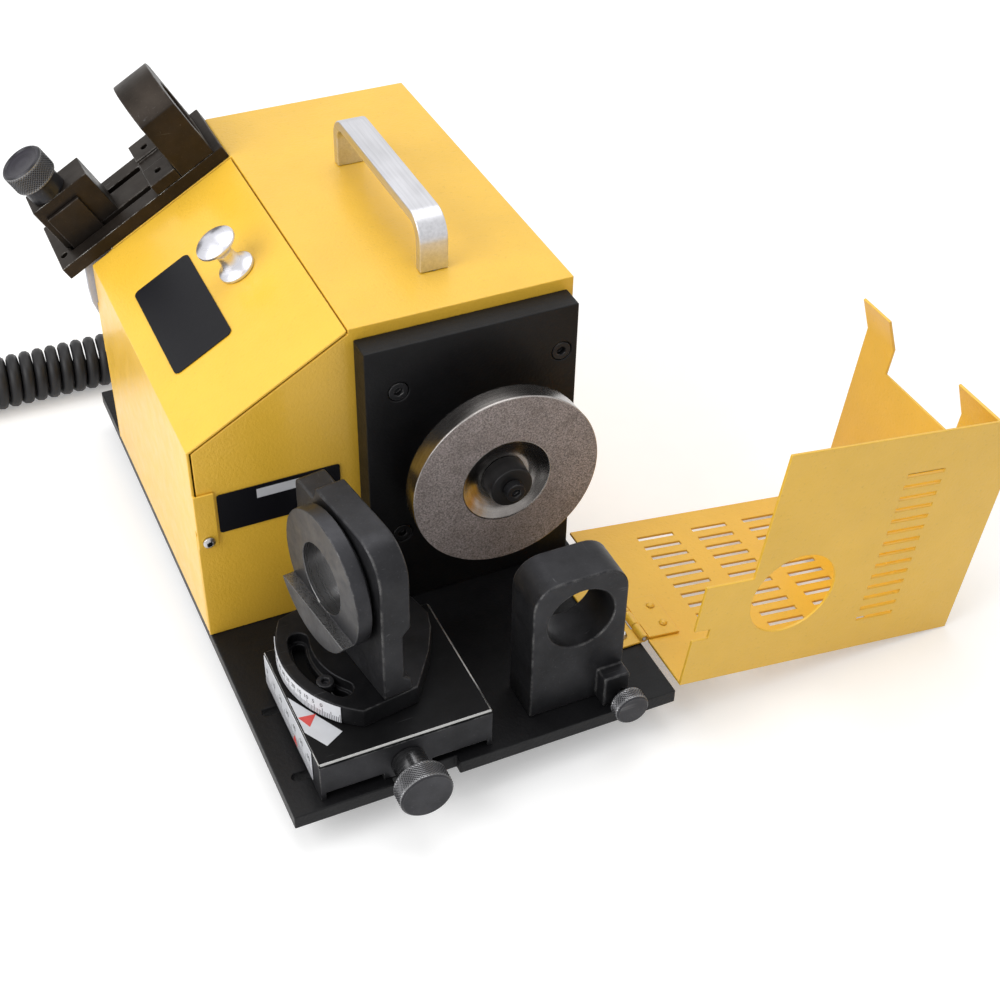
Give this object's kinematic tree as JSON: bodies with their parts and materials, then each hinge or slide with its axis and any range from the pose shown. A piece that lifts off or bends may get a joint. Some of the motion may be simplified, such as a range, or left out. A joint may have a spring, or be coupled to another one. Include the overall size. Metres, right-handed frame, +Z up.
{
  "type": "tap grinding machine",
  "caption": "Bench tap grinding machine: yellow sheet housing, grinding wheel, swivelling work head on a feed slide, tail ring, setting fixture, folding guard and coiled lead.",
  "frame": {"origin": "on the table, under the middle of the machine's extents without the mains lead and plug, with the guard folded open", "axes": "+X to the machine's right, towards the open guard; +Y to the back, away from the wheel's face; +Z up"},
  "size_m": [0.6587, 0.4378, 0.2371],
  "materials": {
    "yellow_paint": "orange-peel paint",
    "black_oxide": "black oxide, oiled",
    "black_paint": "semi-gloss",
    "bright_steel": "zinc plated",
    "bare_aluminium": "satin",
    "wheel_steel": "turned body with an abrasive rim",
    "rubber": "matt",
    "black_plastic": "fine texture",
    "label_foil": "satin foil",
    "scale_foil": "satin foil",
    "grey_sheet": "satin",
    "winding": "laminations and winding, seen as one"
  },
  "bodies": {
    "machine": {"base_plate": "black_paint", "front_plate": "black_paint", "rubber_foot_front_left": "rubber", "rubber_foot_front_right": "rubber", "rubber_foot_rear_left": "rubber", "rubber_foot_rear_right": "rubber", "cord_gland": "rubber", "curly_cord": "rubber", "housing": "yellow_paint", "hinge_base_leaf": "yellow_paint", "carry_handle": "bare_aluminium", "motor_bell": "bare_aluminium", "motor_can": "bare_aluminium", "cover_pivot_front": "bright_steel", "cover_pivot_rear": "bright_steel", "bearing_front": "bright_steel", "bearing_rear": "bright_steel", "handle_screw_front": "bright_steel", "handle_screw_rear": "bright_steel", "hinge_pin": "bright_steel", "hinge_screw": "bright_steel", "front_label": "label_foil", "plate_screw_lower_left": "black_oxide", "plate_screw_lower_right": "black_oxide", "plate_screw_upper_left": "black_oxide", "plate_screw_upper_right": "black_oxide", "slide_rail": "black_oxide", "tail_ring": "black_oxide", "setting_rail": "black_oxide", "setting_stop": "black_oxide", "setting_ring": "black_oxide", "stator": "winding", "fixture_gusset": "grey_sheet", "switch_frame": "black_plastic", "plug": "black_plastic"},
    "wheel": {"spindle": "bright_steel", "grinding_wheel": "wheel_steel", "hub_flange": "black_oxide", "wheel_bolt": "black_oxide"},
    "cover": {"side_cover": "yellow_paint", "cover_knob": "bare_aluminium", "slope_label": "label_foil"},
    "guard": {"guard_sheet": "yellow_paint", "hinge_guard_leaf": "yellow_paint", "guard_rivet_front": "bright_steel", "guard_rivet_rear": "bright_steel"},
    "slide": {"slide_block": "black_oxide", "slide_plate": "black_oxide", "clamp_bolt": "black_oxide", "side_scale": "scale_foil"},
    "feed_screw": {"feed_knob": "black_oxide"},
    "head": {"swivel_sector": "black_oxide", "arch_block": "black_oxide", "rim_scale": "scale_foil"},
    "ring": {"index_ring": "black_oxide"},
    "catch_screw": {"thumbscrew": "black_oxide"},
    "setter": {"setting_slide": "black_oxide", "setting_pad": "black_oxide"},
    "setter_knob": {"setting_knob": "black_oxide"},
    "rocker": {"power_rocker": "black_plastic"}
  },
  "joints": [
    {"name": "wheel_spin", "type": "hinge", "parent": "machine", "child": "wheel", "pos_m": [-0.03308, -0.0876, 0.1145], "axis": [0, 1, 0], "continuous": true},
    {"name": "cover_tilt", "type": "hinge", "parent": "machine", "child": "cover", "pos_m": [-0.17248, 0.0414, 0.0879], "axis": [0, -1, 0], "range_deg": [0, 40]},
    {"name": "guard_fold", "type": "hinge", "parent": "machine", "child": "guard", "pos_m": [0.02442, -0.1266, 0.0266], "axis": [0, -1, 0], "range_deg": [0, 98.13]},
    {"name": "feed_slide", "type": "slide", "parent": "machine", "child": "slide", "axis": [0, 1, 0], "range_m": [-0.008, 0.008]},
    {"name": "feed_knob_turn", "type": "hinge", "parent": "slide", "child": "feed_screw", "pos_m": [-0.11878, -0.1776, 0.033], "axis": [0, 1, 0], "range_deg": [-1920, 1920]},
    {"name": "head_swivel", "type": "hinge", "parent": "slide", "child": "head", "pos_m": [-0.10588, -0.1144, 0.054], "axis": [0, 0, 1], "range_deg": [-12, 38]},
    {"name": "ring_turn", "type": "hinge", "parent": "head", "child": "ring", "pos_m": [-0.12979, -0.1208, 0.1126], "axis": [0.989, 0.1478, 0], "range_deg": [-90, 90]},
    {"name": "catch_screw_turn", "type": "hinge", "parent": "machine", "child": "catch_screw", "pos_m": [-0.00608, -0.1776, 0.0304], "axis": [0, 1, 0], "continuous": true},
    {"name": "setting_travel", "type": "slide", "parent": "machine", "child": "setter", "axis": [0.8653, 0, 0.5012], "range_m": [0, 0.02]},
    {"name": "setting_knob_turn", "type": "hinge", "parent": "setter", "child": "setter_knob", "pos_m": [-0.19494, 0.1547, 0.18631], "axis": [-0.5012, 0, 0.8653], "continuous": true},
    {"name": "power_rocker_tip", "type": "hinge", "parent": "machine", "child": "rocker", "pos_m": [-0.12908, 0.1774, 0.086], "axis": [-1, 0, 0], "range_deg": [0, 18]}
  ],
  "couplings": [
    {"joint": "feed_knob_turn", "follows": "feed_slide", "rad_per_m": 4188.8}
  ]
}
